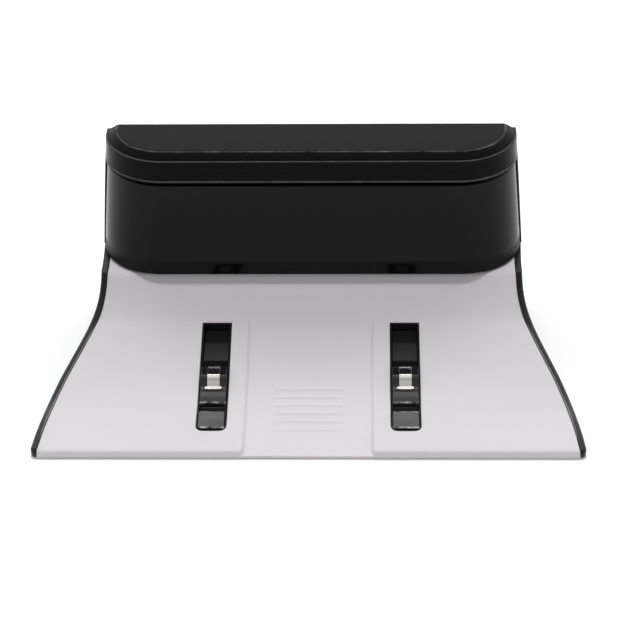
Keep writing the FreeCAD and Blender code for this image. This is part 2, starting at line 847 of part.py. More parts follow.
def pan_screw(start, direction, length, head):
    """Screw with its head against a face at the start and its shank along the direction."""
    shank = rod(screw_radius, start, direction, length)
    return shank.fuse(rod(screw_head_radius, start - direction * head, direction, head))


def make_board_screws():
    inward = Vector(0, 1, 0)
    length = board_screw_length - 0.5
    return [pan_screw(point(board_face, z, x), inward, length, board_screw_head) for x, z in board_places()]


def make_ir_board():
    half = ir_board_width / 2
    low = ir_board_mid - ir_board_height / 2
    board = block(-half, half, ir_board_front, ir_board_front + board_thickness, low, low + ir_board_height)
    for x in (-ir_spread, ir_spread):
        board = board.cut(rod(screw_radius, point(ir_board_front - 1, ir_board_mid, x), Vector(0, 1, 0), 5))
    return board


def make_ir_board_screws():
    back = ir_board_front + board_thickness
    forward = Vector(0, -1, 0)
    return [pan_screw(point(back, ir_board_mid, x), forward, board_thickness, board_screw_head)
            for x in (-ir_spread, ir_spread)]


def make_ir_emitters():
    emitters = []
    for i in range(emitter_count):
        x = (i - (emitter_count - 1) / 2) * emitter_pitch
        shoulder = point(ir_board_front - emitter_length, ir_board_mid, x)
        body = rod(emitter_radius, shoulder, Vector(0, 1, 0), emitter_length)
        emitters.append(body.fuse(Part.makeSphere(emitter_radius, shoulder)).removeSplitter())
    return emitters


def make_ir_divider():
    half = divider_thickness / 2
    reach = ir_board_height / 2 - 3
    near = ir_board_front - divider_length
    return block(-half, half, near, ir_board_front, ir_board_mid - reach, ir_board_mid + reach)


def make_board_link():
    half = link_width / 2
    low = ir_board_mid - link_thickness / 2
    near = ir_board_front + board_thickness
    return block(-half, half, near, board_face, low, low + link_thickness)


# Power inlet
def stadium(width, height, near, far):
    """Level prism with half round ends, centred on the inlet."""
    radius = height / 2
    reach = width / 2 - radius
    low = inlet_height - radius
    body = block(inlet_at - reach, inlet_at + reach, near, far, low, low + height)
    for x in (inlet_at - reach, inlet_at + reach):
        body = body.fuse(rod(radius, point(near, inlet_height, x), Vector(0, 1, 0), far - near))
    return body.removeSplitter()


def inlet_opening(grow, past, depth):
    return stadium(inlet_mouth_width + 2 * grow, inlet_mouth_height + 2 * grow, overall_depth - depth,
                   overall_depth + past)


def make_power_inlet():
    body = inlet_opening(inlet_wall, 0, inlet_depth + inlet_floor)
    inner = overall_depth - rear_wall
    grow = 2 * (inlet_wall + inlet_flange)
    near = inner - inlet_flange_thickness
    flange = stadium(inlet_mouth_width + grow, inlet_mouth_height + grow, near, inner)
    body = body.fuse(flange).cut(inlet_opening(0, 1, inlet_depth))
    for x in (-inlet_pin_pitch / 2, inlet_pin_pitch / 2):
        start = point(overall_depth - inlet_depth - inlet_floor - 1, inlet_height, inlet_at + x)
        body = body.cut(rod(inlet_pin_radius, start, Vector(0, 1, 0), inlet_floor + 2))
    return body.removeSplitter()


def make_inlet_pins():
    pins = []
    back = overall_depth - inlet_depth - inlet_floor
    length = inlet_tab + inlet_floor + inlet_pin_length
    for x in (-inlet_pin_pitch / 2, inlet_pin_pitch / 2):
        start = point(back - inlet_tab, inlet_height, inlet_at + x)
        pins.append(rod(inlet_pin_radius, start, Vector(0, 1, 0), length))
    return pins


def make_inlet_leads():
    leads = []
    tab = overall_depth - inlet_depth - inlet_floor - inlet_tab / 2
    high = board_low + 2
    low = inlet_height + inlet_pin_radius
    for x in (-inlet_pin_pitch / 2, inlet_pin_pitch / 2):
        along = inlet_at + x
        places = [point(tab, low, along), point(tab, high, along), point(board_face, high, along)]
        leads.append(wire_along(places))
    return leads


# Feet and base screws
def make_rubber_feet():
    feet = []
    for distance, half in ((foot_front_at, foot_front_half), (foot_rear_at, foot_rear_half)):
        for x in (-half, half):
            reach = foot_length / 2
            near = distance - foot_width / 2
            foot = block(x - reach, x + reach, near, near + foot_width, 0, foot_drop)
            upright = [edge for edge in foot.Edges if edge.BoundBox.ZLength > foot_drop - 0.01]
            feet.append(foot.makeFillet(foot_width / 2 - 0.01, upright))
    return feet


def make_base_screws():
    up = Vector(0, 0, 1)
    return [pan_screw(point(distance, foot_drop, x), up, screw_reach(distance), screw_head_height)
            for x, distance in post_places()]


def save(name, shape):
    if isinstance(shape, list):
        shape = Part.makeCompound(shape)
    shape.exportStep("parts/" + name + ".step")


save("main_frame", make_main_frame())
save("ramp_cover", make_ramp_cover())
save("ir_window", make_ir_window())
save("top_cap", make_top_cap())
save("top_inlay", make_top_inlay())
save("bottom_plate", make_bottom_plate())
save("ballast_plate", make_ballast_plate())
for name in side_x:
    save(name + "_contact_lever", make_contact_lever(name))
    save(name + "_contact_strip", make_contact_strip(name))
    save(name + "_lever_pin", make_lever_pin(name))
    save(name + "_lever_spring", make_lever_spring(name))
    save(name + "_terminal", make_terminal(name))
    save(name + "_lead", make_lead(name))
save("main_board", make_main_board())
save("transformer", make_transformer())
save("capacitor", make_capacitor())
save("board_screws", make_board_screws())
save("ir_board", make_ir_board())
save("ir_board_screws", make_ir_board_screws())
save("ir_emitters", make_ir_emitters())
save("ir_divider", make_ir_divider())
save("board_link", make_board_link())
save("power_inlet", make_power_inlet())
save("inlet_pins", make_inlet_pins())
save("inlet_leads", make_inlet_leads())
save("rubber_feet", make_rubber_feet())
save("base_screws", make_base_screws())
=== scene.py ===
import json
import math
import bpy
import numpy as np
from mathutils import Matrix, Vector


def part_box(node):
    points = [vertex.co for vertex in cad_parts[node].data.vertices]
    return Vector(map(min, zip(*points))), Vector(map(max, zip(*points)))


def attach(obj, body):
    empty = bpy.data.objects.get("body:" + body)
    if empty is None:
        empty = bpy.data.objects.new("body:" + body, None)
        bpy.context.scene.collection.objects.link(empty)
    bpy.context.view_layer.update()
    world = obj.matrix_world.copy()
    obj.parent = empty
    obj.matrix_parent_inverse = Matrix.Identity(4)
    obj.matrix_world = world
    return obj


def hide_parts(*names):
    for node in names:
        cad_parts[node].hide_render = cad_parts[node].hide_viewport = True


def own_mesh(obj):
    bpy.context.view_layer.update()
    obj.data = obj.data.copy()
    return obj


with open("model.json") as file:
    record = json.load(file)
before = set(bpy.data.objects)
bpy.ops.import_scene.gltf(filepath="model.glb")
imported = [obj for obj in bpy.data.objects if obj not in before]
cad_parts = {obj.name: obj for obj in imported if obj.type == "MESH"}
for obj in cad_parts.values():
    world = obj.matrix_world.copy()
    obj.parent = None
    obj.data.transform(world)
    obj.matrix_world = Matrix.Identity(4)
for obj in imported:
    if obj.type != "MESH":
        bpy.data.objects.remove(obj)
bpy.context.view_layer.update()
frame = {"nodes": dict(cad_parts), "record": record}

nodes = frame["nodes"]
print("frame loaded:", len(nodes), "nodes")


def linear(red, green, blue):
    # each 0..255 screen value becomes the linear value that a shader takes
    share = np.array([red, green, blue]) / 255.0
    values = np.where(share <= 0.04045, share / 12.92, ((share + 0.055) / 1.055) ** 2.4)
    return (*[float(v) for v in values], 1.0)


def newMaterial(name):
    # an empty node material with its one principled shader
    material = bpy.data.materials.new(name)
    material.use_nodes = True
    tree = material.node_tree
    shader = tree.nodes["Principled BSDF"]
    return material, tree, shader


def noiseField(tree, scale, detail=3.0, roughness=0.5):
    # noise over Object coordinates, in cycles per metre
    where = tree.nodes.new("ShaderNodeTexCoord")
    noise = tree.nodes.new("ShaderNodeTexNoise")
    noise.inputs["Scale"].default_value = scale
    noise.inputs["Detail"].default_value = detail
    noise.inputs["Roughness"].default_value = roughness
    tree.links.new(where.outputs["Object"], noise.inputs["Vector"])
    return noise.outputs["Fac"]


def remap(tree, value, low, high):
    # value 0..1 becomes low..high
    ramp = tree.nodes.new("ShaderNodeMapRange")
    ramp.inputs["To Min"].default_value = low
    ramp.inputs["To Max"].default_value = high
    tree.links.new(value, ramp.inputs["Value"])
    return ramp.outputs["Result"]


def paintedEdgeHighlight(tree, shade, look):
    # painted highlight: the piece's per-point mark, broken up by noise, lightens the base colour along lit edges
    pointMark = tree.nodes.new("ShaderNodeAttribute")
    pointMark.attribute_name = "highlightAndHaze"
    speckle = noiseField(tree, look.get("highlightScale", 160.0), 4.0, 0.65)
    broken = remap(tree, speckle, *look.get("highlightRange", (0.2, 1.2)))
    amount = tree.nodes.new("ShaderNodeMath")
    amount.operation = "MULTIPLY"
    amount.use_clamp = True
    tree.links.new(pointMark.outputs["Fac"], amount.inputs[0])
    tree.links.new(broken, amount.inputs[1])
    paintedGlints = tree.nodes.new("ShaderNodeMix")
    paintedGlints.data_type = "RGBA"
    paintedGlints.inputs[7].default_value = linear(*look["highlightAndHaze"])
    tree.links.new(amount.outputs[0], paintedGlints.inputs[0])
    tree.links.new(shade, paintedGlints.inputs[6])
    return paintedGlints.outputs[2]


def paintedEdgeReflection(tree, shade, look):
    # painted reflection: where a softened normal leaves the surface's own normal there is an edge; it lightens
    # between two distances along y, standing in for the white surround mirrored in the trim's rounded edge
    soft = tree.nodes.new("ShaderNodeBevel")
    soft.samples = look["edgeSamples"]
    soft.inputs["Radius"].default_value = look["edgeRadius"]
    own = tree.nodes.new("ShaderNodeNewGeometry")
    match = tree.nodes.new("ShaderNodeVectorMath")
    match.operation = "DOT_PRODUCT"
    tree.links.new(soft.outputs["Normal"], match.inputs[0])
    tree.links.new(own.outputs["Normal"], match.inputs[1])
    near = tree.nodes.new("ShaderNodeMapRange")
    near.inputs["From Min"].default_value, near.inputs["From Max"].default_value = look["edgeMatch"]
    tree.links.new(match.outputs["Value"], near.inputs["Value"])
    where = tree.nodes.new("ShaderNodeTexCoord")
    split = tree.nodes.new("ShaderNodeSeparateXYZ")
    tree.links.new(where.outputs["Object"], split.inputs[0])
    amount = near.outputs["Result"]
    for start, end in look["edgeSpan"]:
        fade = tree.nodes.new("ShaderNodeMapRange")
        fade.interpolation_type = "SMOOTHSTEP"
        fade.inputs["From Min"].default_value = start
        fade.inputs["From Max"].default_value = end
        tree.links.new(split.outputs["Y"], fade.inputs["Value"])
        both = tree.nodes.new("ShaderNodeMath")
        both.operation = "MULTIPLY"
        tree.links.new(amount, both.inputs[0])
        tree.links.new(fade.outputs["Result"], both.inputs[1])
        amount = both.outputs[0]
    mixed = tree.nodes.new("ShaderNodeMix")
    mixed.data_type = "RGBA"
    mixed.inputs[7].default_value = linear(*look["edge"])
    tree.links.new(amount, mixed.inputs[0])
    tree.links.new(shade, mixed.inputs[6])
    return mixed.outputs[2]


def hazed(tree, level, haze):
    # the piece's per-point mark adds up to haze to the roughness
    pointMark = tree.nodes.new("ShaderNodeAttribute")
    pointMark.attribute_name = "highlightAndHaze"
    more = tree.nodes.new("ShaderNodeMath")
    more.operation = "MULTIPLY_ADD"
    more.inputs[1].default_value = haze
    tree.links.new(pointMark.outputs["Fac"], more.inputs[0])
    tree.links.new(level, more.inputs[2])
    return more.outputs[0]


def mouldedFinish(name, look):
    # plastic or metal: base colour with a slow drift, roughness with a patchy drift, and a fine bump grain
    material, tree, shader = newMaterial(name)
    shader.inputs["Metallic"].default_value = look.get("metal", 0.0)
    shader.inputs["Specular IOR Level"].default_value = look.get("gloss", 0.5)
    drift = noiseField(tree, look.get("driftScale", 35.0))
    tint = tree.nodes.new("ShaderNodeMix")
    tint.data_type = "RGBA"
    colour = linear(*look["colour"])
    spread = look.get("drift", 0.04)
    tint.inputs[6].default_value = (*[c * (1 - spread) for c in colour[:3]], 1.0)
    tint.inputs[7].default_value = (*[min(1.0, c * (1 + spread)) for c in colour[:3]], 1.0)
    tree.links.new(drift, tint.inputs[0])
    shade = tint.outputs[2]
    # painted highlights and a painted edge reflection, where the finish lists their colours
    if "highlightAndHaze" in look:
        shade = paintedEdgeHighlight(tree, shade, look)
    if "edge" in look:
        shade = paintedEdgeReflection(tree, shade, look)
    tree.links.new(shade, shader.inputs["Base Color"])
    patch = noiseField(tree, look.get("patchScale", 90.0), 4.0)
    rough = look["rough"]
    wander = look.get("roughDrift", 0.05)
    level = remap(tree, patch, rough - wander, rough + wander)
    if "haze" in look:
        level = hazed(tree, level, look["haze"])
    tree.links.new(level, shader.inputs["Roughness"])
    grain = noiseField(tree, look.get("grainScale", 2600.0), 2.0)
    bump = tree.nodes.new("ShaderNodeBump")
    bump.inputs["Strength"].default_value = look.get("grain", 0.15)
    bump.inputs["Distance"].default_value = look.get("grainDepth", 0.00005)
    tree.links.new(grain, bump.inputs["Height"])
    tree.links.new(bump.outputs["Normal"], shader.inputs["Normal"])
    return material


finishes = {
    # frame_black's light edge colour is a painted reflection along the trim's rounded outer edge, held to two bands
    # along y
    "frame_black": {"colour": (9, 9, 10), "rough": 0.24, "grain": 0.1, "grainScale": 3000.0, "gloss": 0.4,
                    "drift": 0.12, "edge": (150, 150, 152), "edgeRadius": 0.0013, "edgeSamples": 6,
                    "edgeMatch": (0.995, 0.86), "edgeSpan": ((-0.06, -0.046), (0.012, 0.0))},
    "ramp_grey": {"colour": (222, 217, 223), "rough": 0.42, "drift": 0.008, "grain": 0.08, "gloss": 0.3},
    "window_gloss": {"colour": (6, 6, 7), "rough": 0.075, "roughDrift": 0.015, "grain": 0.004, "gloss": 0.13,
                     "haze": 0.4},
    # cap, inlay and lever carry a second, light colour: painted highlights along their lit lip, rim, crest and step
    # edges
    "cap_black": {"colour": (7, 7, 8), "rough": 0.2, "grain": 0.03, "gloss": 0.06, "highlightAndHaze": (94, 94, 95)},
    "inlay_gloss": {"colour": (7, 7, 8), "rough": 0.08, "roughDrift": 0.02, "grain": 0.004, "gloss": 0.075,
                    "highlightAndHaze": (108, 108, 109), "highlightScale": 110.0, "highlightRange": (-0.9, 1.7)},
    "floor_black": {"colour": (9, 9, 10), "rough": 0.45, "gloss": 0.2},
    "ballast_steel": {"colour": (150, 152, 155), "rough": 0.4, "metal": 1.0},
    "lever_black": {"colour": (15, 15, 16), "rough": 0.24, "grain": 0.02, "gloss": 0.6, "highlightAndHaze": (225, 225, 228),
                    "highlightScale": 260.0, "highlightRange": (-2.2, 3.0)},
    "contact_nickel": {"colour": (228, 225, 218), "rough": 0.16, "metal": 1.0, "grain": 0.0},
    "pin_steel": {"colour": (170, 170, 172), "rough": 0.3, "metal": 1.0},
    "spring_steel": {"colour": (165, 165, 168), "rough": 0.3, "metal": 1.0},
    "terminal_brass": {"colour": (200, 172, 104), "rough": 0.3, "metal": 1.0},
    "lead_red": {"colour": (150, 22, 20), "rough": 0.5},
    "lead_dark": {"colour": (20, 20, 21), "rough": 0.5},
    "board_green": {"colour": (18, 74, 42), "rough": 0.35},
    "transformer_tape": {"colour": (206, 168, 48), "rough": 0.35},
    "capacitor_sleeve": {"colour": (24, 28, 48), "rough": 0.3},
    "screw_steel": {"colour": (150, 150, 152), "rough": 0.35, "metal": 1.0},
    "emitter_clear": {"colour": (190, 196, 214), "rough": 0.12},
    "inlet_black": {"colour": (15, 15, 16), "rough": 0.45},
    "inlet_metal": {"colour": (200, 197, 188), "rough": 0.25, "metal": 1.0},
    "link_white": {"colour": (222, 221, 216), "rough": 0.5},
    "foot_rubber": {"colour": (26, 26, 27), "rough": 0.75, "grain": 0.4},
}
materials = {slot: mouldedFinish(slot, look) for slot, look in finishes.items()}
for part in frame["record"]["subparts"]:
    mesh = nodes[part["node"]].data
    mesh.materials.clear()
    mesh.materials.append(materials[part["material_slot"]])
print("finishes set:", len(materials))

mm = 0.001


def addPiece(name, points, quads, body, slot, replaced=(), lids=(), sharpAt=38.0, highlightAndHaze=None):
    # points in millimetres with y from the front edge become one mesh in metres; edges sharper than sharpAt stay
    # crisp, and lids are flat faces with any number of corners
    used, index = np.unique(quads, return_inverse=True)
    places = np.asarray(points, dtype=float)[used]
    places[:, 1] -= dock["depth"] / 2
    mesh = bpy.data.meshes.new(name)
    flat = [np.searchsorted(used, lid).tolist() for lid in lids]
    mesh.from_pydata((places * mm).tolist(), [], index.reshape(quads.shape).tolist() + flat)
    mesh.polygons.foreach_set("use_smooth", np.ones(len(mesh.polygons), dtype=bool))
    mesh.set_sharp_from_angle(angle=math.radians(sharpAt))
    # per-point mark: painted highlights on the cap, inlay and lever, and added roughness on the window
    if highlightAndHaze is not None:
        pointMark = mesh.attributes.new("highlightAndHaze", "FLOAT", "POINT")
        pointMark.data.foreach_set("value", np.asarray(highlightAndHaze, np.float32)[used])
    mesh.materials.append(materials[slot])
    piece = bpy.data.objects.new(name, mesh)
    bpy.context.scene.collection.objects.link(piece)
    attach(piece, body)
    if replaced:
        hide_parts(*replaced)
    return piece


def shellFaces(keep):
    # quads of a closed shell over a grid: kept cells above and below, and a wall wherever a kept cell has no
    # neighbour
    rows, cols = keep.shape[0] + 1, keep.shape[1] + 1
    top = np.arange(rows * cols).reshape(rows, cols)
    low = top + rows * cols
    a, b, c, d = top[:-1, :-1], top[:-1, 1:], top[1:, 1:], top[1:, :-1]
    faces = [np.stack([a, b, c, d], -1)[keep], (np.stack([d, c, b, a], -1) + rows * cols)[keep]]
    padded = np.pad(keep, 1)
    here = padded[1:-1, 1:-1]
    sides = [(padded[:-2, 1:-1], (0, 0), (0, 1)), (padded[2:, 1:-1], (1, 1), (1, 0)),
             (padded[1:-1, :-2], (1, 0), (0, 0)), (padded[1:-1, 2:], (0, 1), (1, 1))]
    for beside, first, last in sides:
        i, j = np.nonzero(here & ~beside)
        p, q = (i + first[0], j + first[1]), (i + last[0], j + last[1])
        faces.append(np.stack([top[p], low[p], low[q], top[q]], -1))
    return np.concatenate(faces)


def softMax(first, second, reach):
    # the larger of two heights, with the crease between them rounded over a reach
    near = np.maximum(reach - np.abs(first - second), 0) / reach
    return np.maximum(first, second) + near * near * reach / 4


def ease(share):
    # 0 to 1 with level ends
    share = np.clip(share, 0, 1)
    return share ** 3 * (share * (6 * share - 15) + 10)


def splineThrough(knots, values):
    # natural cubic through the knots: the bends at the knots solve one banded system
    knots, values = np.array(knots, float), np.array(values, float)
    step = np.diff(knots)
    slope = np.diff(values) / step
    band = np.eye(len(knots))
    inner = np.arange(1, len(knots) - 1)
    band[inner, inner - 1] = step[:-1]
    band[inner, inner] = 2 * (step[:-1] + step[1:])
    band[inner, inner + 1] = step[1:]
    side = np.zeros(len(knots))
    side[inner] = 6 * np.diff(slope)
    bend = np.linalg.solve(band, side)

    def at(place):
        k = np.clip(np.searchsorted(knots, place) - 1, 0, len(step) - 1)
        t, h = place - knots[k], step[k]
        first = slope[k] - h * (2 * bend[k] + bend[k + 1]) / 6
        return values[k] + t * (first + t * (bend[k] / 2 + t * (bend[k + 1] - bend[k]) / (6 * h)))
    return at


# the dock's own lines, in millimetres; distances run from the front edge and heights from the floor
dock = {"depth": 130.0, "sillAt": 93.6, "sillHeight": 36.04, "waistHalf": 97.0, "frontHalf": 120.0,
        "flare": ((-0.086, 1.04), (0.028, 1.0), (0.16, 0.951), (0.32, 0.835), (0.48, 0.65), (0.641, 0.409),
                  (0.801, 0.18), (0.94, 0.026), (1.085, 0.0), (1.389, 0.0587), (1.5, 0.0587))}
wallHalf = splineThrough([way * dock["sillAt"] for way, share in dock["flare"]],
                         [dock["waistHalf"] + share * (dock["frontHalf"] - dock["waistHalf"])
                          for way, share in dock["flare"]])

cover = {"lipHeight": 4.0, "lipRound": 1.9, "apron": 14.0, "apronSlope": 3.0, "rampStart": 40.0, "rampSlope": 18.0,
         "topSlope": 53.2, "sweepLimit": 75.0, "padRise": 1.3, "channelHalf": 26.9, "bank": 2.0,
         "channelFront": 1.5, "cornerCut": 1.2, "cornerReach": 3.5, "lipShare": 0.95, "crease": 0.5, "brow": 1.8,
         "thickness": 2.6, "leastSkin": 0.15, "foot": 0.8, "wedge": 24.0, "wedgeRise": 8.0, "wallInset": 3.05,
         "edgeRound": 0.3, "slotAt": 42.7, "slotHalf": 6.7, "slotFront": 14.3, "slotRear": 75.0,
         "slotCorner": 3.3, "slotRearCorner": 0.3, "slotRound": 0.4, "bowAcross": 6.0, "bowAlong": 8.0,
         "ribs": (16.1, 21.5, 26.5, 31.2, 35.7, 40.0), "ribHalf": 15.5, "ribHeight": 0.28, "ribWidth": 0.45,
         "ringHalf": 95.3, "ringFront": 98.4, "ringRound": 26.75, "fixedHalf": 62.0, "fixedDepth": 84.0,
         "fanReach": 36.0}


def padLine(d):
    # level of the raised pads: an apron line, a wide arc and the straight ramp, each tangent to the next
    c = cover
    low, high = math.radians(c["apronSlope"]), math.radians(c["rampSlope"])
    start = c["lipRound"] * (1 - math.sin(low))
    foot = c["lipHeight"] - c["lipRound"] * (1 - math.cos(low)) + (c["apron"] - start) * math.tan(low)
    radius = (c["rampStart"] - c["apron"]) / (math.sin(high) - math.sin(low))
    along = np.clip(d, c["apron"], c["rampStart"]) - c["apron"] + radius * math.sin(low)
    arc = foot + radius * math.cos(low) - np.sqrt(radius ** 2 - along ** 2)
    knee = foot + radius * (math.cos(low) - math.cos(high))
    ramp = knee + (d - c["rampStart"]) * math.tan(high)
    return np.select([d < c["apron"], d < c["rampStart"]], [foot + (d - c["apron"]) * math.tan(low), arc], ramp)


def channelLine(d):
    # level of the channel's floor: the pads' line less their rise, running out to a thin front edge
    c = cover
    share = np.clip(1 - d / c["apron"], 0, 1)
    low = padLine(np.maximum(d, c["apron"])) - c["padRise"]
    return low * (1 - share) + c["channelFront"] * share


def sweepLine(d):
    # channel's floor, then the arc that leaves it tangent and reaches the sill at the top slope
    c = cover
    low, high = math.radians(c["rampSlope"]), math.radians(c["topSlope"])
    rise = dock["sillHeight"] - float(channelLine(np.array(dock["sillAt"])))
    run, lift = math.sin(high) - math.sin(low), math.cos(low) - math.cos(high)
    radius = rise / (lift - run * math.tan(low))
    start = dock["sillAt"] - radius * run
    foot = float(channelLine(np.array(start)))
    along = np.clip(d - start + radius * math.sin(low), 0, radius * math.sin(math.radians(c["sweepLimit"])))
    arc = foot + radius * math.cos(low) - np.sqrt(radius ** 2 - along ** 2)
    return np.where(d < start, channelLine(d), arc)


def slotReach(x, d):
    # distance outside the nearer slot's outline, a rectangle with round front corners
    c = cover
    middle = (c["slotFront"] + c["slotRear"]) / 2
    corner = np.where(d < middle, c["slotCorner"], c["slotRearCorner"])
    across = np.abs(np.abs(x) - c["slotAt"]) - c["slotHalf"] + corner
    along = np.abs(d - middle) - (c["slotRear"] - c["slotFront"]) / 2 + corner
    outside = np.hypot(np.maximum(across, 0), np.maximum(along, 0))
    return outside + np.minimum(np.maximum(across, along), 0) - corner


def roundOver(reach, radius):
    # drop of a rounded edge at a distance in from it
    inside = np.clip(radius - reach, 0, radius)
    return radius - np.sqrt(radius ** 2 - inside ** 2)


def coverTop(x, d, edge):
    # ramp height: pads eased down to the channel, run into the sweep, rounded at the sill, lip, slots and edges
    c = cover
    bank = c["channelHalf"] + c["cornerCut"] * np.clip(1 - d / c["cornerReach"], 0, 1) ** 2
    rise = ease((np.abs(x) - bank) / c["bank"])
    floor = channelLine(d)
    z = softMax(sweepLine(d), floor + rise * (padLine(d) - floor), c["crease"])
    z = -softMax(-z, -np.full_like(z, dock["sillHeight"]), c["brow"])
    for at in c["ribs"]:
        z += c["ribHeight"] * np.exp(-((d - at) / c["ribWidth"]) ** 2) * ease(c["ribHalf"] - np.abs(x))
    inside = np.clip(c["lipRound"] - d, 0, c["lipRound"])
    lip = c["lipHeight"] - c["lipRound"] + np.sqrt(c["lipRound"] ** 2 - inside ** 2)
    z = np.where(d < c["lipRound"] * c["lipShare"], np.minimum(z, lip), z)
    return z - roundOver(slotReach(x, d), c["slotRound"]) - roundOver(edge, c["edgeRound"])


def rampCover():
    # grid over the plan: columns keep to the slots and then fan out to the flared edge, rows keep to the lip, slots
    # and ribs and then stretch back to the head's ring; the slots' cells are left out and walled
    c = cover
    fine = np.array([0, 0.03, 0.08, 0.15, 0.24, 0.4, 0.8])
    slotLow, slotHigh = c["slotAt"] - c["slotHalf"], c["slotAt"] + c["slotHalf"]
    turn = c["slotCorner"] * (1 - np.cos(np.radians([25, 40, 55, 70, 90])))
    fixed = np.concatenate([np.linspace(0, 14.5, 5), [15.2, 16, 18, 21, 24, 25.4], np.linspace(26.2, 29.6, 12),
                            [30.6, 32, 34], slotLow - fine[::-1], slotLow + turn, [40.5, 42.7, 44.9],
                            slotHigh - turn[::-1], slotHigh + fine, [51.5, 54, 57, c["fixedHalf"]]])
    spread = 1 - np.concatenate([np.linspace(1, 0.06, 16)[1:],
                                 [0.035, 0.02, 0.01, 0.006, 0.0035, 0.0015, 0.0005, 0]])
    share = np.concatenate([np.zeros_like(fixed), spread])
    fixed = np.concatenate([fixed, np.full_like(spread, c["fixedHalf"])])
    share = np.concatenate([share[:0:-1], share])
    fixed = np.concatenate([-fixed[:0:-1], fixed])
    lip = c["lipRound"] * (1 - np.cos(np.radians(np.linspace(0, 90, 12))))
    beat = np.array([-1.6, -0.8, -0.5, -0.25, 0, 0.25, 0.5, 0.8, 1.6])  # rows beside each rib
    ribs = (np.array(c["ribs"])[:, None] + beat).ravel()
    ribs = ribs[ribs > c["slotFront"] + 0.1]
    rows = np.concatenate([lip, [3.8, 5, 6.5, 8, 9.5, 11, 12.2, 13], c["slotFront"] - fine[::-1], ribs,
                           np.linspace(42.6, 74, 26), c["slotRear"] + fine,
                           np.linspace(76.5, c["fixedDepth"], 7)])
    back = np.linspace(0, 1, 27)[1:]
    stretch = np.concatenate([np.zeros_like(rows), back])
    rows = np.concatenate([rows, np.full_like(back, c["fixedDepth"])])
    d, x = np.meshgrid(rows, fixed, indexing="ij")
    aside = np.abs(x) + share * c["fanReach"] - c["ringHalf"] + c["ringRound"]
    aside = np.clip(aside, 0, c["ringRound"] - 1)
    d = d + stretch[:, None] * (c["ringFront"] + c["ringRound"] - np.sqrt(c["ringRound"] ** 2 - aside ** 2) - d)
    beside = np.abs(np.abs(x) - c["slotAt"])
    bow = np.clip(beside - c["slotHalf"] + c["slotCorner"], 0, c["slotCorner"])
    bow = c["slotCorner"] - np.sqrt(c["slotCorner"] ** 2 - bow ** 2)
    bow *= np.clip(1 - (beside - c["slotHalf"]) / c["bowAcross"], 0, 1) ** 2
    bow *= np.clip(1 - np.abs(d - c["slotFront"]) / c["bowAlong"], 0, 1)
    d = d + np.where(np.abs(x) < c["fixedHalf"], bow, 0)
    half = wallHalf(d)
    slope = (wallHalf(d + 0.05) - wallHalf(d - 0.05)) / 0.1
    half = half - c["wallInset"] * np.sqrt(1 + slope ** 2)
    x = x + np.sign(x) * share * (half - c["fixedHalf"])
    z = coverTop(x, d, half - np.abs(x))
    thick = c["thickness"] + c["wedgeRise"] * np.clip(1 - d / c["wedge"], 0, 1)
    under = np.minimum(np.maximum(z - thick, c["foot"]), z - c["leastSkin"])
    top = np.stack([x, d, z], -1).reshape(-1, 3)
    low = np.stack([x, d, under], -1).reshape(-1, 3)
    column = (fixed[1:] + fixed[:-1]) / 2
    row = (rows[1:] + rows[:-1]) / 2
    slotCells = (np.abs(np.abs(column) - c["slotAt"]) < c["slotHalf"])[None, :]
    slotCells = slotCells & ((row > c["slotFront"]) & (row < c["slotRear"]))[:, None]
    return addPiece("ramp_cover_skin", np.concatenate([top, low]), shellFaces(~slotCells), "dock", "ramp_grey",
                    ["ramp_cover"])


rampCover()
print("ramp cover made")

head = {"halfLow": 97.5, "sideLean": 0.0756, "frontLean": 0.0909, "corner": 29.0, "frontLow": 91.2, "low": 36.64,
        "high": 80.95, "top": 94.7, "rim": 92.15, "split": 120.3}


def headRings(side, front, back, z):
    # one outline of the head for each profile point: two straight sides and a front joined by quarter circles, moved
    # in by the side, front and back insets; the walls lean in with the height
    side, front, back, z = [np.asarray(v, float)[:, None] for v in np.broadcast_arrays(side, front, back, z)]
    half = head["halfLow"] - head["sideLean"] * (z - head["low"]) - side
    near = head["frontLow"] + head["frontLean"] * (z - head["low"]) + front
    far = dock["depth"] - back
    radius = head["corner"] - np.maximum(np.maximum(side, front), 0)
    run = np.linspace(0, 1, 9)[None, :]
    turn = np.linspace(0, np.pi / 2, 45)[None, 1:-1]
    fore = np.linspace(0, 1, 49)[None, :]
    along = far + run * (near + radius - far)
    x = np.concatenate([-half + 0 * run, -half + radius * (1 - np.cos(turn)), (half - radius) * (2 * fore - 1),
                        half - radius * (1 - np.sin(turn)), half + 0 * run], 1)
    y = np.concatenate([along, near + radius * (1 - np.sin(turn)), near + 0 * fore,
                        near + radius * (1 - np.cos(turn)), along[:, ::-1]], 1)
    return np.stack([x, y, z + 0 * x], -1)


def ringFaces(rows, cols, aroundRows=False, aroundCols=True):
    # quads between neighbouring points of a grid, closed round either way where asked
    grid = np.arange(rows * cols).reshape(rows, cols)
    grid = np.concatenate([grid, grid[:1]], 0) if aroundRows else grid
    grid = np.concatenate([grid, grid[:, :1]], 1) if aroundCols else grid
    return np.stack([grid[:-1, :-1], grid[:-1, 1:], grid[1:, 1:], grid[1:, :-1]], -1).reshape(-1, 4)


def quarter(centre, radius, start, end, count=7):
    # arc of a profile: centre plus radius at angles from start to end, in degrees
    t = np.radians(np.linspace(start, end, count))
    return np.stack([centre[0] + radius * np.cos(t), centre[1] + radius * np.sin(t)], -1)


def ringPiece(name, profile, body, slot, replaced, highlightAndHaze):
    # stack of head outlines, closed below and above by a flat face over the first and the last outline
    rings = headRings(*np.array(profile).T)
    count = rings.shape[1]
    quads = ringFaces(len(rings), count)
    lids = [np.arange(count)[::-1], (len(rings) - 1) * count + np.arange(count)]
    return addPiece(name, rings.reshape(-1, 3), quads, body, slot, replaced, lids, highlightAndHaze=np.repeat(highlightAndHaze, count))


